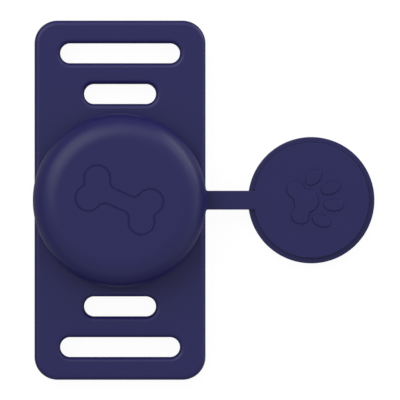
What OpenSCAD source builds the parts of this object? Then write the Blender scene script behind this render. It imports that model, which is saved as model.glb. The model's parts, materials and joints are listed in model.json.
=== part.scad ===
// Tag holder for a pet collar, moulded in one piece from soft silicone.
//
// The back of the plate lies on z = 0 and the dome rises towards +z. The origin is on the
// pocket's axis, where it meets the back. The strap and the cap lie towards +x, and the
// slotted wings reach out along y. The tag goes in from the back. The strap then bends
// round and carries the cap behind the plate, where its flange snaps in behind the lip.

/* [Tag] */
// Diameter of the coin-shaped tag that the pocket is made for
tag_d = 31.9; // [28:0.1:50]
// Thickness of the tag
tag_t = 8.0; // [6:0.1:16]
// Room left round the tag
tag_gap = 0.15; // [0.05:0.05:0.4]

/* [Pocket] */
// Thickness of the pocket's round wall
wall_t = 2.0; // [1.2:0.1:3]
// Thickness of the dome over the tag
roof_t = 1.5; // [1:0.1:3]
// Radius of the dome's round shoulder
shoulder_r = 5.6; // [4:0.1:8]
// Width of the firm ledge round the mouth
ledge_w = 2.1; // [1.2:0.1:4]

/* [Cap] */
// Room between the ledge and the cap's flange
flange_gap = 0.8; // [0.3:0.1:1.5]
// How far the flange stands out past the cap's face
flange_w = 1.2; // [0.6:0.1:2]
// Radius of the flange's edges
flange_edge_r = 0.6; // [0.2:0.1:0.8]
// Radius of the edge of the cap's face
face_edge_r = 0.25; // [0.1:0.05:0.5]
// Room between the lip and the cap's face when the cap is shut
lip_gap = 0.15; // [0.1:0.05:0.4]
// Height left between the lip and the flange when the cap is shut
shut_gap = 0.1; // [0.05:0.05:0.3]

/* [Strap] */
// Width of the strap
strap_w = 3.95; // [3:0.05:8]
// Thickness of the strap
strap_t = 1.2; // [0.8:0.1:2]
// Height left between the two runs of the folded strap
fold_gap = 0.6; // [0.4:0.1:1.5]
// Length of the fixed stub between the dome and the bend
strap_lead = 0.45; // [0.2:0.05:5]
// Radius of the strap's long edges
strap_edge_r = 0.25; // [0.05:0.05:0.5]
// Room beside the folded strap in its channel
channel_gap = 0.2; // [0.1:0.05:0.5]

/* [Wings] */
// Length of the outer slots, for wide webbing
long_slot = 25.0; // [18:0.5:40]
// Length of the inner slots, for narrow webbing
short_slot = 15.0; // [8:0.5:18]
// Clear width of every slot
slot_w = 4.15; // [4.1:0.05:8]
// How far the dome stands out past the plate's long sides
dome_proud = 0.25; // [0.05:0.05:1]
// Plate left between the dome and the inner slots
dome_strip_w = 2.0; // [1.8:0.1:6]
// Plate left between the two slots of a wing
bridge_w = 4.35; // [2.8:0.05:10]
// Plate left outside the outer slots
end_w = 4.75; // [3:0.05:12]
// Radius of the plate's corners, seen from the front
corner_r = 4.8; // [2.5:0.1:8]
// Radius of the plate's and the slots' front edges
front_edge_r = 1.1; // [0.3:0.1:1.2]
// Radius of the plate's back edge
back_edge_r = 0.3; // [0.1:0.05:0.5]

/* [Paw print] */
// Height of the raised paw print
paw_h = 0.3; // [0.1:0.05:0.6]
// Share of the cap's face that the paw print spans
paw_share = 0.5; // [0.3:0.05:0.7]
// Turn of the paw print on the cap
paw_turn = 10; // [-180:1:180]

/* [Hidden] */
$fn = 180;
colour = [0.19, 0.19, 0.35];

// The plate is as thick as two runs of the strap and the gap between them
plate_t = 2 * strap_t + fold_gap;
over = plate_t;

// Pocket
pocket_r = tag_d / 2 + tag_gap;
dome_r = pocket_r + wall_t;
ledge_r = pocket_r - ledge_w;
lip_t = strap_t - shut_gap;
pocket_top = plate_t + tag_t + tag_gap;
dome_h = pocket_top + roof_t;
inner_shoulder_r = shoulder_r - wall_t;

// Cap
flange_r = ledge_r - flange_gap;
face_r = flange_r - flange_w;
lip_r = face_r + lip_gap;
flange_t = plate_t - strap_t;

// Wings
plate_w = 2 * (dome_r - dome_proud);
seam_y = dome_r + (dome_strip_w - front_edge_r) / 2;
short_slot_y = dome_r + dome_strip_w + slot_w / 2;
long_slot_y = short_slot_y + slot_w + bridge_w;
plate_end_y = long_slot_y + slot_w / 2 + end_w;

// The fold: the strap bends by half a turn about an axis along y, halfway up the plate. The
// bend is as long as the half circle between the strap's two runs.
bend_r = (plate_t - strap_t) / 2;
bend_l = PI * bend_r;
bend_start_x = dome_r + strap_lead;
bend_end_x = bend_start_x + bend_l;
fold_x = (bend_start_x + bend_end_x) / 2;
cap_x = 2 * fold_x;
tail_end_x = cap_x - flange_r;

// Paw print, as shares of its span: the heel pad's lobes and the toes, each with its place
// along and across the print, its half length, its half width and its turn
paw_span = paw_share * 2 * face_r;
heel_shares = [
    [-0.09, 0, 0.22, 0.21, 0],
    [-0.24, 0.24, 0.17, 0.14, 30],
    [-0.24, -0.24, 0.17, 0.14, -30]
];
toe_shares = [
    [0.11, 0.38, 0.17, 0.11, 32],
    [0.37, 0.15, 0.18, 0.11, 10],
    [0.37, -0.15, 0.18, 0.11, -10],
    [0.11, -0.38, 0.17, 0.11, -32]
];

// Half of a flat-topped round section between two heights, with its top edge rounded
module domed_section(width, low, high, edge_r) {
    intersection() {
        union() {
            square([width, high - edge_r]);
            square([width - edge_r, high]);
            translate([width - edge_r, high - edge_r])
                circle(edge_r);
        }
        translate([0, low])
            square([width + over, high - low + over]);
    }
}

// Half of a slab's section, from its middle out to its side, with both edges rounded
module slab_section(width, height, front_r, back_r) {
    square([width - front_r, height]);
    square([width - back_r, height - front_r]);
    translate([0, back_r])
        square([width, height - front_r - back_r]);
    translate([width - front_r, height - front_r])
        circle(front_r);
    translate([width - back_r, back_r])
        circle(back_r);
}

module plate_section(width) {
    slab_section(width, plate_t, front_edge_r, back_edge_r);
}

// The plate's side along +x, from y_low to y_high, with its rounded edges
module plate_side(y_low, y_high) {
    translate([plate_w / 2 - corner_r, y_high, 0])
        rotate([90, 0, 0])
            linear_extrude(height = y_high - y_low)
                plate_section(corner_r);
}

// Half of a slot's section: a straight wall that rounds outwards at the front
module slot_section() {
    translate([0, -over])
        square([slot_w / 2, plate_t + 2 * over]);
    difference() {
        translate([0, plate_t - front_edge_r])
            square([slot_w / 2 + front_edge_r, front_edge_r + over]);
        translate([slot_w / 2 + front_edge_r, plate_t - front_edge_r])
            circle(front_edge_r);
    }
}

// What a slot takes out of the plate, with full round ends
module slot_space(length) {
    straight = length - slot_w;
    for (side = [0, 180])
        rotate(side) {
            translate([straight / 2, 0, 0])
                rotate(-90)
                    rotate_extrude(angle = 180)
                        slot_section();
            translate([-straight / 2, 0, 0])
                rotate([90, 0, 90])
                    linear_extrude(height = straight)
                        slot_section();
        }
}

// The wing towards +y, from its seam with the middle of the plate to its rounded end
module wing_shape() {
    corner_x = plate_w / 2 - corner_r;
    corner_y = plate_end_y - corner_r;
    difference() {
        union() {
            translate([-corner_x, seam_y, 0])
                cube([2 * corner_x, corner_y - seam_y, plate_t]);
            translate([-corner_x, corner_y, 0])
                rotate([90, 0, 90])
                    linear_extrude(height = 2 * corner_x)
                        plate_section(corner_r);
            for (side = [0, 1])
                mirror([side, 0, 0]) {
                    plate_side(seam_y, corner_y);
                    translate([corner_x, corner_y, 0])
                        rotate_extrude(angle = 90)
                            plate_section(corner_r);
                }
        }
        translate([0, short_slot_y, 0])
            slot_space(short_slot);
        translate([0, long_slot_y, 0])
            slot_space(long_slot);
    }
}

// The middle of the plate before the pocket is cut out: it swells to the dome's width
module middle_blank() {
    inner_x = plate_w / 2 - corner_r;
    translate([-inner_x, -seam_y, 0])
        cube([2 * inner_x, 2 * seam_y, plate_t]);
    for (side = [0, 1])
        mirror([side, 0, 0])
            plate_side(-seam_y, seam_y);
    cylinder(r = dome_r, h = plate_t);
}

// The channel in the back that the folded strap lies in, from the mouth to the edge
module channel_space() {
    width = strap_w + 2 * channel_gap;
    translate([0, -width / 2, -over])
        cube([dome_r + over, width, over + strap_t + shut_gap]);
}

// The round space that holds the tag, with the shoulder's inside radius at its top
module tag_space() {
    rotate_extrude()
        domed_section(pocket_r, lip_t, pocket_top, inner_shoulder_r);
}

module pocket_dome() {
    color(colour)
        difference() {
            rotate_extrude()
                domed_section(dome_r, plate_t, dome_h, shoulder_r);
            tag_space();
        }
}

module plate_middle() {
    color(colour)
        difference() {
            middle_blank();
            tag_space();
            translate([0, 0, -over])
                cylinder(r = ledge_r, h = plate_t + 2 * over);
            channel_space();
        }
}

// The lip runs from the firm ledge in to the mouth and ends in a full round
module mouth_lip() {
    color(colour)
        difference() {
            rotate_extrude() {
                translate([lip_r + lip_t / 2, 0])
                    square([ledge_r - lip_r - lip_t / 2, lip_t]);
                translate([lip_r + lip_t / 2, lip_t / 2])
                    circle(lip_t / 2);
            }
            channel_space();
        }
}

module upper_wing() {
    color(colour)
        wing_shape();
}

module lower_wing() {
    color(colour)
        mirror([0, 1, 0])
            wing_shape();
}

// A straight run of the strap, flush with the front of the plate
module strap_run(x_low, x_high) {
    translate([x_low, 0, plate_t - strap_t])
        rotate([90, 0, 90])
            linear_extrude(height = x_high - x_low)
                for (side = [0, 1])
                    mirror([side, 0])
                        slab_section(strap_w / 2, strap_t, strap_edge_r, strap_edge_r);
}

module strap_root() {
    color(colour)
        difference() {
            strap_run(dome_r - over / 2, bend_start_x);
            cylinder(r = dome_r, h = plate_t + over);
            translate([0, -strap_w, 0])
                cube([plate_w / 2, 2 * strap_w, plate_t + over]);
        }
}

// The stretch that curls into a half circle as the cap folds round behind the plate
module strap_bend() {
    color(colour)
        strap_run(bend_start_x, bend_end_x);
}

module strap_tail() {
    color(colour)
        strap_run(bend_end_x, tail_end_x);
}

// The cap's upper disc, with the strap's end running into it over the flange
module cap_face() {
    color(colour) {
        translate([cap_x, 0, 0])
            rotate_extrude()
                domed_section(face_r, flange_t, plate_t, face_edge_r);
        strap_run(tail_end_x, cap_x - face_r / 2);
    }
}

module cap_flange() {
    color(colour)
        translate([cap_x, 0, 0])
            rotate_extrude()
                slab_section(flange_r, flange_t, flange_edge_r, flange_edge_r);
}

// An oval pad of the paw print, from its row of shares
module paw_pad(share) {
    translate([share[0] * paw_span, share[1] * paw_span])
        rotate(share[4])
            polygon([
                for (turn = [0:15:345])
                    paw_span * [share[2] * cos(turn), share[3] * sin(turn)]
            ]);
}

module paw_relief() {
    color(colour)
        translate([cap_x, 0, plate_t])
            rotate(paw_turn)
                linear_extrude(height = paw_h) {
                    union()
                        for (share = heel_shares)
                            paw_pad(share);
                    for (share = toe_shares)
                        paw_pad(share);
                }
}

pocket_dome();
plate_middle();
mouth_lip();
upper_wing();
lower_wing();
strap_root();
strap_bend();
strap_tail();
cap_face();
cap_flange();
paw_relief();
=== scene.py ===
"""Looks of a soft holder for a coin-shaped tracker tag, one moulding of matte silicone.

All shapes are in metres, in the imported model's frame: the back of the plate lies on
z = 0, the dome rises towards +z, and the strap and cap reach to +x.
"""

import json
import math

import bmesh
import bpy
from bpy.props import FloatProperty, FloatVectorProperty, PointerProperty
from mathutils import Matrix, Vector


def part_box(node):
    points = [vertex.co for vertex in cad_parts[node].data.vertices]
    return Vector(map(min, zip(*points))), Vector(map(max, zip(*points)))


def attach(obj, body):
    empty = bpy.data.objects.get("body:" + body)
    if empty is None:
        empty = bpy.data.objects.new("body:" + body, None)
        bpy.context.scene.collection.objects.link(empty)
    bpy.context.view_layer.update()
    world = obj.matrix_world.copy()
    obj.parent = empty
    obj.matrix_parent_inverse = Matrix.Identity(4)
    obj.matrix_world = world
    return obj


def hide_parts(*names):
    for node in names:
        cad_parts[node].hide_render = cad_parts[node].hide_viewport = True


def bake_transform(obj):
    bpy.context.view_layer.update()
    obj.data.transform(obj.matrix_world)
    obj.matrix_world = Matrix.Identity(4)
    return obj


bl_info = {
    "name": "Tag Holder",
    "version": (1, 0, 0),
    "blender": (4, 5, 0),
    "location": "View3D > Sidebar > Tag Holder",
    "description": "Makes the skin, finish and studio of a soft tracker tag holder",
    "category": "Add Mesh",
}

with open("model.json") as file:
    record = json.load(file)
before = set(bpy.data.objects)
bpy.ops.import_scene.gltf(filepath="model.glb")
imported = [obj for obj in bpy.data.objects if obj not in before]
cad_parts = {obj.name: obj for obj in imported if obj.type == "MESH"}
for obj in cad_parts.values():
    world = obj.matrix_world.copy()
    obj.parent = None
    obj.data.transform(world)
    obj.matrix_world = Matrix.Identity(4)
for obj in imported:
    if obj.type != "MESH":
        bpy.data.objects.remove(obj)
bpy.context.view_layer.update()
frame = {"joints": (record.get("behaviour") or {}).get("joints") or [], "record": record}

MM = 0.001
CLOSE = 0.0001 * MM  # Points nearer than this are one
SLIVER = 0.0005 * MM  # Edges shorter than this go after a cut
FLAT_ANGLE = math.radians(0.05)  # Faces that turn less than this are one flat
CREASE_ANGLE = math.radians(35)  # Edges that turn more than this stay sharp

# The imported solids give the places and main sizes
DOME_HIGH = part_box("pocket_dome")[1]
WING_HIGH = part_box("upper_wing")[1]
LIP_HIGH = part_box("mouth_lip")[1]
FLANGE_LOW, FLANGE_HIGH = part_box("cap_flange")
FACE_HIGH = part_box("cap_face")[1]
BEND_LOW, BEND_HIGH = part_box("strap_bend")
PAW_LOW, PAW_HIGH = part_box("paw_relief")
FOLD_PLACE = Vector(next(j["pos_m"] for j in frame["joints"] if j["name"] == "fold"))
CAP_X = (FLANGE_LOW.x + FLANGE_HIGH.x) / 2
MOUNTS = {m["name"]: m for m in frame["record"]["mounts"]}


def length(name, description, default):
    """A length in metres that a user may change."""
    return FloatProperty(
        name=name,
        description=description,
        default=default,
        min=0,
        precision=5,
        unit="LENGTH",
        subtype="DISTANCE",
    )


def share(name, description, default):
    """A share from none to all that a user may change."""
    return FloatProperty(
        name=name,
        description=description,
        default=default,
        min=0,
        max=1,
        subtype="FACTOR",
    )


def watts(name, description, default):
    """A lamp's power that a user may change."""
    return FloatProperty(
        name=name, description=description, default=default, min=0, unit="POWER"
    )


def colour(name, description, default):
    """A colour that a user may change."""
    return FloatVectorProperty(
        name=name,
        description=description,
        default=default,
        min=0,
        max=1,
        subtype="COLOR",
    )


class HolderSizes(bpy.types.PropertyGroup):
    """Sizes of the dome, its pocket and the slotted plate."""

    dome_radius: length("Dome radius", "Outside radius of the dome", DOME_HIGH.x)
    dome_top: length("Dome top", "Height of the dome over the back", DOME_HIGH.z)
    shoulder: length("Shoulder radius", "Radius of the dome's round shoulder", 5.6 * MM)
    wall: length("Wall", "Thickness of the pocket's round wall", 2.0 * MM)
    roof: length("Roof", "Thickness of the dome over the tag", 1.5 * MM)
    plate: length("Plate thickness", "Thickness of the slotted plate", WING_HIGH.z)
    half_width: length("Half width", "Half the width of the plate", WING_HIGH.x)
    half_length: length("Half length", "Half the length of the plate", WING_HIGH.y)
    corner: length("Corner radius", "Radius of the plate's corners", 4.8 * MM)
    front_edge: length("Front edge", "Radius of the plate's front edges", 1.1 * MM)
    back_edge: length("Back edge", "Radius of the plate's back edge", 0.3 * MM)
    slot_width: length("Slot width", "Clear width of every slot", 4.15 * MM)
    long_slot: length("Long slot", "Length of the outer slots", 25 * MM)
    short_slot: length("Short slot", "Length of the inner slots", 15 * MM)
    mouth: length("Mouth radius", "Radius of the mouth at the lip", 12.15 * MM)
    lip: length("Lip thickness", "Thickness of the mouth's lip", LIP_HIGH.z)
    channel: length("Channel width", "Width of the strap's channel", 4.35 * MM)
    channel_depth: length("Channel depth", "Depth of the strap's channel", 1.3 * MM)
    emblem: length("Bone length", "Length of the engraved bone outline", 18 * MM)
    emblem_line: length("Bone line", "Width of the engraved line", 0.42 * MM)


class CapSizes(bpy.types.PropertyGroup):
    """Sizes of the strap, the cap and its paw print."""

    flange_radius: length("Flange radius", "Radius of the cap's flange", FLANGE_HIGH.y)
    flange: length("Flange thickness", "Thickness of the cap's flange", FLANGE_HIGH.z)
    flange_foot: length("Flange foot", "Radius of the flange's lower edge", 0.6 * MM)
    flange_edge: length("Flange edge", "Radius of the flange's upper edge", 0.2 * MM)
    face_radius: length("Face radius", "Radius of the cap's face", FACE_HIGH.y)
    face_top: length("Face top", "Height of the cap's face over the back", FACE_HIGH.z)
    face_edge: length("Face edge", "Radius of the edge of the cap's face", 0.08 * MM)
    strap_width: length("Strap width", "Width of the strap", 2 * BEND_HIGH.y)
    strap: length("Strap thickness", "Thickness of the strap", BEND_HIGH.z - BEND_LOW.z)
    strap_edge: length("Strap edge", "Radius of the strap's long edges", 0.25 * MM)
    root_fillet: length("Root fillet", "Radius of the strap's foot", 0.18 * MM)
    paw_span: length("Paw span", "Span of the paw print", 12 * MM)
    paw_edge: length("Paw edge", "Radius of the pads' edges", 0.08 * MM)
    paw_slope: length("Paw slope", "How far the pads' sides lean in", 0.14 * MM)


class SiliconeLook(bpy.types.PropertyGroup):
    """Colour and surface of the silicone."""

    tint: colour("Colour", "Colour of the silicone", (0.0152, 0.0134, 0.102))
    shade: colour("Darker colour", "Colour of its clouds", (0.0143, 0.0126, 0.096))
    roughness: share("Roughness", "Roughness of the skin", 0.38)
    grain: length("Grain", "Size of the fine moulded grain", 0.16 * MM)
    cloud: length("Cloud", "Size of the faint clouds in the tint", 7 * MM)


class StudioLook(bpy.types.PropertyGroup):
    """Lamps, world and floor."""

    key: watts("Key", "Power of the wide softbox at the upper left", 1.9)
    back: watts("Back", "Power of the softbox above the plate's top", 0.38)
    rim: watts("Rim", "Power of the softbox at the upper right", 0.66)
    strip: watts("Strip", "Power of the low strip at the upper right", 0.95)
    low: watts("Low", "Power of the low strip at the lower right", 0.14)
    side: watts("Side", "Power of the low softbox beyond the cap", 0.18)
    under: watts("Under", "Power of the lamp under the floor", 3.6)
    ambient: share("Ambient", "Strength of the light from all round", 0.59)
    mirrored: share("Mirrored", "Share of the white ground that reflections show", 0.05)
    shadow: share("Shadow", "Share of the floor's own shading that shows", 0.1)


# Shapes


def new_piece(name, bm):
    """An object at the origin that holds a shape."""
    mesh = bpy.data.meshes.new(name)
    bm.to_mesh(mesh)
    bm.free()
    piece = bpy.data.objects.new(name, mesh)
    bpy.context.scene.collection.objects.link(piece)
    return piece


def round_corner(bm, corner, radius, segments):
    """Rounds one corner of an outline."""
    bmesh.ops.bevel(
        bm,
        geom=[corner],
        offset=radius,
        offset_type="OFFSET",
        segments=segments,
        profile=0.5,
        affect="VERTICES",
        material=-1,
    )


def round_edges(bm, edges, radius, segments):
    """Rounds edges of a solid."""
    bmesh.ops.bevel(
        bm,
        geom=edges,
        offset=radius,
        offset_type="OFFSET",
        segments=segments,
        profile=0.5,
        affect="EDGES",
        material=-1,
    )


def lathe(corners, steps=192):
    """A solid turned round z from the corners of its half section.

    A corner is a radius and a height, and where it is round, its rounding and segments.
    """
    bm = bmesh.new()
    line = [bm.verts.new((r, 0, z)) for r, z, *_ in corners]
    for pair in zip(line, line[1:]):
        bm.edges.new(pair)
    for vert, (_, _, *rounding) in zip(line, corners):
        if rounding:
            round_corner(bm, vert, *rounding)
    bmesh.ops.remove_doubles(bm, verts=bm.verts, dist=CLOSE)
    bmesh.ops.spin(
        bm,
        geom=bm.verts[:] + bm.edges[:],
        cent=(0, 0, 0),
        axis=(0, 0, 1),
        angle=math.tau,
        steps=steps,
        use_merge=True,
    )
    bmesh.ops.remove_doubles(bm, verts=bm.verts, dist=CLOSE)
    rims = [edge for edge in bm.edges if edge.is_boundary]
    if rims:
        bmesh.ops.holes_fill(bm, edges=rims, sides=0)
    bmesh.ops.recalc_face_normals(bm, faces=bm.faces)
    return bm


def combine(piece, others, operation):
    """Joins other objects to a piece or cuts them out of it, then removes them."""
    for other in others:
        modifier = piece.modifiers.new("combine", "BOOLEAN")
        modifier.operation = operation
        modifier.solver = "EXACT"
        modifier.object = other
    graph = bpy.context.evaluated_depsgraph_get()
    shaped = bpy.data.meshes.new_from_object(piece.evaluated_get(graph))
    bm = bmesh.new()
    bm.from_mesh(shaped)
    bmesh.ops.dissolve_degenerate(bm, dist=SLIVER, edges=bm.edges)
    bm.to_mesh(shaped)
    bm.free()
    old = piece.data
    piece.modifiers.clear()
    piece.data = shaped
    shaped.name = piece.name
    # An object goes with its mesh
    for mesh in [old, *(other.data for other in others)]:
        bpy.data.meshes.remove(mesh)


def finish_piece(piece, nodes):
    """Shades a piece smooth but for its creases and gives it its finish."""
    piece.data.shade_smooth()
    piece.data.set_sharp_from_angle(angle=CREASE_ANGLE)
    weighted = piece.modifiers.new("even shading", "WEIGHTED_NORMAL")
    weighted.mode = "FACE_AREA"
    weighted.keep_sharp = True
    piece.data.materials.clear()
    piece.data.materials.append(silicone())
    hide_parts(*nodes)


BONE_TURN = math.radians(-24)


def bone_outline(size):
    """Points round a bone: two knobs at each end of a shaft, with soft necks."""
    reach, spread = size * 0.335, size * 0.125
    knob, waist = size * 0.15, size * 0.095
    neck, notch = size * 0.09, size * 0.05
    neck_x = reach - math.sqrt((knob + neck) ** 2 - (waist + neck - spread) ** 2)
    notch_x = reach + math.sqrt((knob + notch) ** 2 - spread**2)
    neck_end = math.atan2(spread - waist - neck, reach - neck_x)
    notch_end = math.atan2(spread, notch_x - reach)

    def arc(x, y, radius, start, end, count):
        turns = [start + (end - start) * k / count for k in range(count)]
        return [
            Vector((x + radius * math.cos(turn), y + radius * math.sin(turn), 0))
            for turn in turns
        ]

    quarter = (
        arc(neck_x, waist + neck, neck, -math.pi / 2, neck_end, 10)
        + arc(reach, spread, knob, neck_end + math.pi, -notch_end, 28)
        + arc(notch_x, 0, notch, math.pi - notch_end, math.pi, 6)
    )
    tip = [Vector((notch_x - notch, 0, 0))]
    right = quarter + tip + [Vector((p.x, -p.y, 0)) for p in reversed(quarter)]
    return right + [Vector((-p.x, -p.y, 0)) for p in right]


def groove(points, radius):
    """A closed tube along points."""
    line = bpy.data.curves.new("line", "CURVE")
    line.dimensions = "3D"
    line.bevel_depth = radius
    line.bevel_resolution = 3
    spline = line.splines.new("POLY")
    spline.points.add(len(points) - 1)
    for target, point in zip(spline.points, points):
        target.co = (*point, 1)
    spline.use_cyclic_u = True
    tube = bpy.data.objects.new("line", line)
    bpy.context.scene.collection.objects.link(tube)
    graph = bpy.context.evaluated_depsgraph_get()
    mesh = bpy.data.meshes.new_from_object(tube.evaluated_get(graph))
    bpy.data.curves.remove(line)
    cutter = bpy.data.objects.new("cutter", mesh)
    bpy.context.scene.collection.objects.link(cutter)
    return cutter


# Finish

IOR = 1.41
CLOUD_ROUGHNESS = 0.06  # How much the clouds change the roughness
GRAIN_ROUGHNESS = 0.08  # How much the grain changes it
GRAIN_HEIGHT = 0.02 * MM
GRAIN_RELIEF = 0.25  # Share of that height that the bump shows


class Wire:
    """A socket of a node tree. Sums with it are written as plain Python."""

    def __init__(self, tree, socket=None):
        self.tree = tree
        self.socket = socket

    def node(self, kind, settings=None, sockets=None, output=0):
        """Adds a node with its settings, then its sockets' values or links."""
        made = self.tree.nodes.new(kind)
        for name, value in (settings or {}).items():
            setattr(made, name, value)
        for name, value in (sockets or {}).items():
            if isinstance(value, Wire):
                self.tree.links.new(value.socket, made.inputs[name])
            else:
                made.inputs[name].default_value = value
        return Wire(self.tree, made.outputs[output]) if made.outputs else made

    def maths(self, operation, first, second):
        """Adds a Math node on two values or wires."""
        return self.node(
            "ShaderNodeMath", {"operation": operation}, {0: first, 1: second}
        )

    def __add__(self, other):
        return self.maths("ADD", self, other)

    def __sub__(self, other):
        return self.maths("SUBTRACT", self, other)

    def __rsub__(self, other):
        return self.maths("SUBTRACT", other, self)

    def __mul__(self, other):
        return self.maths("MULTIPLY", self, other)

    __radd__ = __add__
    __rmul__ = __mul__


def new_material(name):
    """A material with an empty node tree, and the wire that starts it."""
    material = bpy.data.materials.new(name)
    material.use_nodes = True
    material.node_tree.nodes.clear()
    return material, Wire(material.node_tree)


def silicone():
    """Matte indigo silicone, with a fine moulded grain and faint clouds in its tint."""
    known = bpy.data.materials.get("indigo_silicone")
    if known:
        return known
    look = bpy.context.scene.silicone_look
    material, wire = new_material("indigo_silicone")
    place = wire.node("ShaderNodeTexCoord", output="Object")

    def noise(size, detail, roughness):
        sockets = {
            "Vector": place,
            "Scale": 1 / size,
            "Detail": detail,
            "Roughness": roughness,
        }
        return wire.node("ShaderNodeTexNoise", sockets=sockets)

    cloud = noise(look.cloud, detail=3.0, roughness=0.5)
    grain = noise(look.grain, detail=2.0, roughness=0.6)
    # In a Mix node of colours, sockets 6 and 7 are its colours and output 2 its result
    tint = wire.node(
        "ShaderNodeMix",
        {"data_type": "RGBA"},
        {0: cloud, 6: (*look.shade, 1), 7: (*look.tint, 1)},
        output=2,
    )
    clouded = (cloud - 0.5) * CLOUD_ROUGHNESS
    grained = (grain - 0.5) * GRAIN_ROUGHNESS
    bump = wire.node(
        "ShaderNodeBump",
        sockets={"Strength": GRAIN_RELIEF, "Distance": GRAIN_HEIGHT, "Height": grain},
    )
    shader = wire.node(
        "ShaderNodeBsdfPrincipled",
        sockets={
            "Base Color": tint,
            "Roughness": look.roughness + clouded + grained,
            "Normal": bump,
            "IOR": IOR,
        },
    )
    wire.node("ShaderNodeOutputMaterial", sockets={"Surface": shader})
    return material


# Operators


class TAGHOLDER_OT_dome(bpy.types.Operator):
    """Make the dome over the tag, hollow below, with a bone engraved on its top"""

    bl_idname = "tag_holder.dome"
    bl_label = "Dome"

    def execute(self, context):
        size = context.scene.holder_sizes
        inner = size.dome_radius - size.wall
        bm = lathe([
            (0, size.dome_top),
            (size.dome_radius, size.dome_top, size.shoulder, 32),
            (size.dome_radius, size.plate),
            (inner, size.plate),
            (inner, size.dome_top - size.roof, size.shoulder - size.wall, 20),
            (0, size.dome_top - size.roof),
        ])
        merge_flats(bm)
        dome = new_piece("dome_skin", bm)
        turn = Matrix.Rotation(BONE_TURN, 4, "Z")
        place = Matrix.Translation((0, 0, size.dome_top)) @ turn
        points = [place @ point for point in bone_outline(size.emblem)]
        combine(dome, [groove(points, size.emblem_line / 2)], "DIFFERENCE")
        finish_piece(dome, ["pocket_dome"])
        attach(dome, "holder")
        return {"FINISHED"}


def merge_flats(bm):
    """Makes one face of each flat that a pole or a cut has split."""
    bmesh.ops.dissolve_limit(
        bm,
        angle_limit=FLAT_ANGLE,
        use_dissolve_boundaries=False,
        verts=bm.verts,
        edges=bm.edges,
        delimit=set(),
    )


class TAGHOLDER_OT_plate(bpy.types.Operator):
    """Make the slotted plate with the pocket's mouth and the strap's channel"""

    bl_idname = "tag_holder.plate"
    bl_label = "Slotted plate"

    def execute(self, context):
        size = context.scene.holder_sizes
        over = size.plate
        bm = bmesh.new()
        bmesh.ops.create_cube(bm, size=1)
        block = (2 * size.half_width, 2 * size.half_length, size.plate)
        bmesh.ops.scale(bm, vec=block, verts=bm.verts)
        bmesh.ops.translate(bm, vec=(0, 0, size.plate / 2), verts=bm.verts)
        upright = [
            edge
            for edge in bm.edges
            if abs(edge.verts[0].co.z - edge.verts[1].co.z) > size.plate / 2
        ]
        round_edges(bm, upright, size.corner, 20)
        for height, radius, segments in (
            (size.plate, size.front_edge, 10),
            (0, size.back_edge, 4),
        ):
            rim = [
                edge
                for edge in bm.edges
                if all(abs(vert.co.z - height) < CLOSE for vert in edge.verts)
            ]
            round_edges(bm, rim, radius, segments)
        plate = new_piece("plate_skin", bm)
        swell = new_piece("swell", lathe([
            (0, 0),
            (size.dome_radius, 0, size.back_edge, 4),
            (size.dome_radius, size.plate),
            (0, size.plate),
        ]))
        combine(plate, [swell], "UNION")
        ledge = size.mouth + size.lip / 2
        mouth = new_piece("mouth", lathe([
            (0, -over),
            (ledge, -over),
            (ledge, 0),
            (size.mouth, 0, size.lip / 2, 8),
            (size.mouth, size.lip, size.lip / 2, 8),
            (size.dome_radius - size.wall, size.lip),
            (size.dome_radius - size.wall, size.plate + over),
            (0, size.plate + over),
        ]))
        channel = new_piece("channel", channel_cutter(size))
        slots = [
            slot_cutter(
                size,
                size.long_slot if "wide" in name else size.short_slot,
                mount["pos_m"][1],
            )
            for name, mount in MOUNTS.items()
            if mount["kind"] == "slide"
        ]
        combine(plate, [mouth, channel, *slots], "DIFFERENCE")
        finish_piece(plate, ["plate_middle", "mouth_lip", "upper_wing", "lower_wing"])
        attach(plate, "holder")
        return {"FINISHED"}


def channel_cutter(size):
    """What the strap's channel takes out of the back, with round edges and corners."""
    edge = 0.25 * MM
    over = size.plate
    half = size.channel / 2
    bm = bmesh.new()
    side = [
        (half, size.channel_depth, edge, 4),
        (half, 0, edge, 4),
        (half + edge, 0),
        (half + edge, -over),
    ]
    corners = side + [(-y, *rest) for y, *rest in reversed(side)]
    ring = [bm.verts.new((0, y, z)) for y, z, *_ in corners]
    bm.faces.new(ring)
    for vert, (_, _, *rounding) in zip(ring, corners):
        if rounding:
            round_corner(bm, vert, *rounding)
    bmesh.ops.remove_doubles(bm, verts=bm.verts, dist=CLOSE)
    lengthen(bm, size.dome_radius + over)
    bmesh.ops.recalc_face_normals(bm, faces=bm.faces)
    return bm


def slot_cutter(size, span, across):
    """What a slot takes out of the plate: straight walls, round ends and round rims."""
    half = size.slot_width / 2
    over = size.plate
    rim = 0.25 * MM
    on_axis = 0.001 * MM
    steps = 64
    bm = lathe(
        [
            (0, -over),
            (half + rim, -over),
            (half + rim, 0),
            (half, 0, rim, 4),
            (half, size.plate, size.front_edge, 10),
            (half + size.front_edge, size.plate),
            (half + size.front_edge, size.plate + over),
            (0, size.plate + over),
        ],
        steps,
    )
    # Half a step round, so that only the poles lie between the two ends
    half_step = Matrix.Rotation(math.pi / steps, 3, "Z")
    bmesh.ops.rotate(bm, matrix=half_step, verts=bm.verts)
    for side in (-1, 1):
        bmesh.ops.translate(
            bm,
            vec=(side * (span - size.slot_width) / 2, 0, 0),
            verts=[vert for vert in bm.verts if vert.co.x * side > on_axis],
        )
    bmesh.ops.translate(bm, vec=(0, across, 0), verts=bm.verts)
    return new_piece("slot", bm)


BEND_REACH = 0.75 * MM  # From the fold's axis to each end of the stretch that bends


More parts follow.
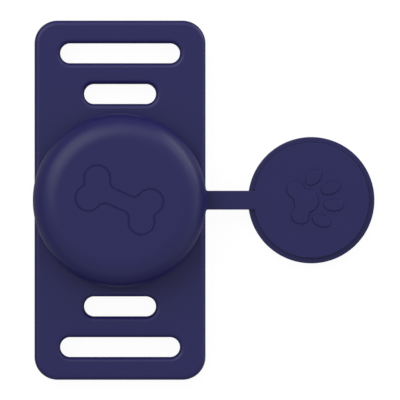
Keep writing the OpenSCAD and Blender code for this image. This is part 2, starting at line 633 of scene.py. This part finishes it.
class TAGHOLDER_OT_strap(bpy.types.Operator):
    """Make the strap and cap as one skin, cut finely across where the strap folds behind
    the plate
    """

    bl_idname = "tag_holder.strap"
    bl_label = "Strap and cap"

    def execute(self, context):
        size = context.scene.cap_sizes
        holder = context.scene.holder_sizes
        cap = new_piece("strap_and_cap", lathe([
            (0, 0),
            (size.flange_radius, 0, size.flange_foot, 10),
            (size.flange_radius, size.flange, size.flange_edge, 5),
            (size.face_radius, size.flange),
            (size.face_radius, size.face_top, size.face_edge, 3),
            (0, size.face_top),
        ]))
        cap.data.transform(Matrix.Translation((CAP_X, 0, 0)))
        bm = strap_bar(size, holder)
        # Over the flange the lower face dips below its top, and over the cap's face the
        # upper one dips below that, so that no two flats meet
        middle = size.face_top - size.strap / 2
        for step, upper, lower in (
            (0.7 * MM, 0, -0.1 * MM),
            (size.flange_radius - size.face_radius - 0.3 * MM, 0, 0),
            (0.7 * MM, -0.15 * MM, 0),
        ):
            lengthen(bm, step)
            end = max(vert.co.x for vert in bm.verts)
            for vert in bm.verts:
                if vert.co.x > end - CLOSE:
                    vert.co.z += upper if vert.co.z > middle else lower
        bmesh.ops.recalc_face_normals(bm, faces=bm.faces)
        combine(cap, [new_piece("strap", bm)], "UNION")
        finish_piece(
            cap, ["strap_root", "strap_bend", "strap_tail", "cap_face", "cap_flange"]
        )
        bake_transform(cap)
        return {"FINISHED"}


def strap_bar(size, holder):
    """The strap as a bar with rounded long edges, cut across at each stop.

    It runs from inside the dome's wall, through its fillet and the bend, to the cap.
    """
    foot, bend = 6, 48
    start = FOLD_PLACE.x - BEND_REACH
    stops = [holder.dome_radius - holder.wall / 2, holder.dome_radius - 0.05 * MM]
    stops += [
        holder.dome_radius + size.root_fillet * k / foot for k in range(foot + 1)
    ]
    stops += [start + 2 * BEND_REACH * k / bend for k in range(bend + 1)]
    stops += [stops[-1] + 0.6 * MM, CAP_X - size.flange_radius - 0.3 * MM]
    bm = bmesh.new()
    bmesh.ops.create_grid(bm, x_segments=1, y_segments=1, size=0.5)
    bmesh.ops.scale(bm, vec=(size.strap, size.strap_width, 1), verts=bm.verts)
    bmesh.ops.rotate(bm, matrix=Matrix.Rotation(math.pi / 2, 3, "Y"), verts=bm.verts)
    for corner in bm.verts[:]:
        round_corner(bm, corner, size.strap_edge, 4)
    bmesh.ops.translate(
        bm, vec=(stops[0], 0, size.face_top - size.strap / 2), verts=bm.verts
    )
    for low, high in zip(stops, stops[1:]):
        lengthen(bm, high - low)
    fillet = size.root_fillet
    for vert in bm.verts:
        near = holder.dome_radius + fillet - vert.co.x
        if near > 0:
            spread = fillet - math.sqrt(fillet**2 - min(near, fillet) ** 2)
            vert.co.y *= 1 + 2 * spread / size.strap_width
    return bm


def lengthen(bm, step):
    """Grows a bar by one step from the face at its end."""
    end = max(bm.faces, key=lambda face: min(v.co.x for v in face.verts))
    grown = bmesh.ops.extrude_face_region(bm, geom=[end, *end.edges])["geom"]
    verts = [part for part in grown if isinstance(part, bmesh.types.BMVert)]
    bmesh.ops.translate(bm, vec=(step, 0, 0), verts=verts)


PAW_TURN = math.radians(10)

# Places and lengths on the paw print are shares of its span. An oval has its place
# along and across, half its length, half its width and its turn in degrees.
HEEL_MIDDLE = (-0.14, 0)
HEEL = (
    (-0.09, 0, 0.22, 0.21, 0),
    (-0.24, 0.24, 0.17, 0.14, 30),
    (-0.24, -0.24, 0.17, 0.14, -30),
)
TOES = (
    (0.11, 0.38, 0.17, 0.11, 32),
    (0.37, 0.15, 0.18, 0.11, 10),
    (0.37, -0.15, 0.18, 0.11, -10),
    (0.11, -0.38, 0.17, 0.11, -32),
)


def oval_reach(direction, oval):
    """How far a ray from the middle of the heel runs before it leaves an oval."""
    x, y, long, wide, turn = oval
    back = Matrix.Rotation(-math.radians(turn), 2)
    start = back @ (Vector(HEEL_MIDDLE) - Vector((x, y)))
    ray = back @ direction
    a = (ray.x / long) ** 2 + (ray.y / wide) ** 2
    b = start.x * ray.x / long**2 + start.y * ray.y / wide**2
    c = (start.x / long) ** 2 + (start.y / wide) ** 2 - 1
    inside = b * b - a * c
    return (-b + math.sqrt(inside)) / a if inside > 0 else 0


class TAGHOLDER_OT_paw(bpy.types.Operator):
    """Make the low raised paw print on the cap"""

    bl_idname = "tag_holder.paw"
    bl_label = "Paw print"

    def execute(self, context):
        size = context.scene.cap_sizes
        sink = 0.1 * MM
        bm = bmesh.new()
        made = bmesh.ops.create_circle(bm, cap_ends=False, segments=96, radius=1)
        heel = made["verts"]
        for vert in heel:
            direction = vert.co.xy.normalized()
            far = max(oval_reach(direction, oval) for oval in HEEL)
            vert.co.xy = Vector(HEEL_MIDDLE) + direction * far
        for _ in range(3):
            bmesh.ops.smooth_vert(
                bm,
                verts=heel,
                factor=0.5,
                use_axis_x=True,
                use_axis_y=True,
                use_axis_z=False,
            )
        for x, y, long, wide, turn in TOES:
            bmesh.ops.create_circle(
                bm,
                cap_ends=False,
                segments=48,
                radius=1,
                matrix=Matrix.Translation((x, y, 0))
                @ Matrix.Rotation(math.radians(turn), 4, "Z")
                @ Matrix.Diagonal((long, wide, 1, 1)),
            )
        bmesh.ops.scale(bm, vec=(size.paw_span, size.paw_span, 1), verts=bm.verts)
        bmesh.ops.holes_fill(bm, edges=bm.edges[:], sides=0)
        grown = bmesh.ops.extrude_face_region(bm, geom=bm.faces[:])["geom"]
        tops = [part for part in grown if isinstance(part, bmesh.types.BMFace)]
        rise(bm, tops, sink)
        bmesh.ops.inset_region(
            bm, faces=tops, thickness=size.paw_slope, use_even_offset=True
        )
        rise(bm, tops, PAW_HIGH.z - PAW_LOW.z)
        rims = [edge for face in tops for edge in face.edges]
        round_edges(bm, rims, size.paw_edge, 4)
        bmesh.ops.recalc_face_normals(bm, faces=bm.faces)
        bmesh.ops.transform(
            bm,
            matrix=Matrix.Translation((CAP_X, 0, PAW_LOW.z - sink))
            @ Matrix.Rotation(PAW_TURN, 4, "Z"),
            verts=bm.verts,
        )
        paw = new_piece("paw_print", bm)
        finish_piece(paw, ["paw_relief"])
        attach(paw, "cap")
        return {"FINISHED"}


def rise(bm, faces, step):
    """Lifts faces by one step."""
    verts = {vert for face in faces for vert in face.verts}
    bmesh.ops.translate(bm, vec=(0, 0, step), verts=list(verts))


# Studio, in metres: each lamp's place, width and depth
LAMPS = {
    "key": ((-0.362, 0.350, 0.486), 0.60, 0.56),
    "back": ((0.100, 0.548, 0.424), 0.36, 0.40),
    "rim": ((0.497, 0.417, 0.262), 0.40, 0.30),
    "strip": ((0.580, 0.391, 0.012), 0.60, 0.02),
    "low": ((0.606, -0.350, 0.040), 0.46, 0.06),
    "side": ((0.684, -0.030, 0.146), 0.20, 0.32),
    "under": ((0, 0, -0.5), 0.5, 0.5),
}
FLOOR_REACH = 3.0  # From its middle to its sides
FLOOR_DROP = 0.8 * MM  # Below the holder's back
FLOOR_BOUNCE = 0.3  # Colour of the floor for the light that it throws back
FLOOR_PALE = 0.9  # Its colour where it is seen
FLOOR_WHITE = 1.045  # Its own light where it is seen
FADE_HEIGHT = 0.3  # Where the light from above is full, as a share of straight up
CAMERA_AIM = (16.7 * MM, 0.04 * MM)
CAMERA_RISE = 1.6
VIEW_WIDTH = 83.45 * MM
SENSOR_WIDTH = 36  # In millimetres, as the lens is


class TAGHOLDER_OT_stage(bpy.types.Operator):
    """Make the pale floor, the soft studio light and the camera"""

    bl_idname = "tag_holder.stage"
    bl_label = "Studio"

    def execute(self, context):
        scene = context.scene
        look = scene.studio_look
        scene.view_settings.view_transform = "Standard"
        bm = bmesh.new()
        bmesh.ops.create_grid(bm, x_segments=1, y_segments=1, size=FLOOR_REACH)
        bmesh.ops.translate(bm, vec=(0, 0, -FLOOR_DROP), verts=bm.verts)
        floor = new_piece("floor", bm)
        floor.data.materials.append(floor_finish(look))
        studio_world(scene, look)
        for name, (place, width, depth) in LAMPS.items():
            lamp(f"{name}_lamp", getattr(look, name), place, width, depth)
        eye = bpy.data.cameras.new("eye")
        eye.sensor_width = SENSOR_WIDTH
        eye.lens = SENSOR_WIDTH * CAMERA_RISE / VIEW_WIDTH
        eye.clip_end = 20
        camera = bpy.data.objects.new("eye", eye)
        scene.collection.objects.link(camera)
        camera.location = (*CAMERA_AIM, WING_HIGH.z + CAMERA_RISE)
        scene.camera = camera
        return {"FINISHED"}


def seen_directly(wire, mirrored):
    """1 for a ray from the camera or through glass, a share of it for a reflection."""
    camera = wire.node("ShaderNodeLightPath", output="Is Camera Ray")
    clear = wire.node("ShaderNodeLightPath", output="Is Transmission Ray")
    glossy = wire.node("ShaderNodeLightPath", output="Is Glossy Ray")
    straight = wire.maths("MAXIMUM", camera, clear)
    return wire.maths("MAXIMUM", straight, glossy * mirrored)


def floor_finish(look):
    """White where it is seen, with a little of its own shade, and open from below."""
    material, wire = new_material("white_floor")
    seen = seen_directly(wire, look.mirrored)
    pale = FLOOR_BOUNCE + (FLOOR_PALE - FLOOR_BOUNCE) * seen
    plain = wire.node("ShaderNodeBsdfDiffuse", sockets={"Color": pale})
    white = wire.node("ShaderNodeEmission", sockets={"Strength": FLOOR_WHITE})
    open_air = wire.node("ShaderNodeBsdfTransparent")
    shown = wire.node(
        "ShaderNodeMixShader",
        sockets={0: seen * (1 - look.shadow), 1: plain, 2: white},
    )
    below = wire.node("ShaderNodeNewGeometry", output="Backfacing")
    shade_ray = wire.node("ShaderNodeLightPath", output="Is Shadow Ray")
    away = wire.maths("MAXIMUM", below, shade_ray)
    surface = wire.node(
        "ShaderNodeMixShader", sockets={0: away, 1: shown, 2: open_air}
    )
    wire.node("ShaderNodeOutputMaterial", sockets={"Surface": surface})
    return material


def studio_world(scene, look):
    """White behind the object, and soft light from above that fades to the floor."""
    world = bpy.data.worlds.new("studio")
    scene.world = world
    world.use_nodes = True
    world.node_tree.nodes.clear()
    wire = Wire(world.node_tree)
    place = wire.node("ShaderNodeTexCoord", output="Generated")
    height = wire.node("ShaderNodeSeparateXYZ", sockets={"Vector": place}, output="Z")
    above = wire.node(
        "ShaderNodeMapRange",
        {"interpolation_type": "SMOOTHSTEP"},
        {"Value": height, "From Min": 0.0, "From Max": FADE_HEIGHT},
    )
    seen = seen_directly(wire, look.mirrored)
    strength = seen + (1 - seen) * above * look.ambient
    light = wire.node(
        "ShaderNodeBackground", sockets={"Color": (1, 1, 1, 1), "Strength": strength}
    )
    wire.node("ShaderNodeOutputWorld", sockets={"Surface": light})


def lamp(name, power, place, width, depth):
    """A soft box that looks at the object."""
    light = bpy.data.lights.new(name, "AREA")
    light.energy = power
    light.shape = "RECTANGLE"
    light.size = width
    light.size_y = depth
    box = bpy.data.objects.new(name, light)
    bpy.context.scene.collection.objects.link(box)
    box.location = place
    box.rotation_euler = (-Vector(place)).to_track_quat("-Z", "Y").to_euler()
    box.visible_camera = False


class TAGHOLDER_PT_sidebar(bpy.types.Panel):
    """The holder's pieces and their values, in the sidebar"""

    bl_idname = "TAGHOLDER_PT_sidebar"
    bl_label = "Tag Holder"
    bl_space_type = "VIEW_3D"
    bl_region_type = "UI"
    bl_category = "Tag Holder"

    def draw(self, context):
        column = self.layout.column()
        for operator in OPERATORS:
            column.operator(operator.bl_idname)
        for name, group in GROUPS.items():
            box = self.layout.box()
            for key in group.__annotations__:
                box.prop(getattr(context.scene, name), key)


GROUPS = {
    "holder_sizes": HolderSizes,
    "cap_sizes": CapSizes,
    "silicone_look": SiliconeLook,
    "studio_look": StudioLook,
}
OPERATORS = (
    TAGHOLDER_OT_dome,
    TAGHOLDER_OT_plate,
    TAGHOLDER_OT_strap,
    TAGHOLDER_OT_paw,
    TAGHOLDER_OT_stage,
)
CLASSES = (*GROUPS.values(), *OPERATORS, TAGHOLDER_PT_sidebar)


def register():
    """Makes the classes and the scene's values known."""
    for made in CLASSES:
        bpy.utils.register_class(made)
    for name, group in GROUPS.items():
        setattr(bpy.types.Scene, name, PointerProperty(type=group))


def unregister():
    """Takes them back."""
    for name in GROUPS:
        delattr(bpy.types.Scene, name)
    for made in reversed(CLASSES):
        bpy.utils.unregister_class(made)


def main():
    """Makes every piece and the studio."""
    register()
    bpy.ops.tag_holder.dome()
    bpy.ops.tag_holder.plate()
    bpy.ops.tag_holder.strap()
    bpy.ops.tag_holder.paw()
    bpy.ops.tag_holder.stage()


if __name__ == "__main__":
    main()
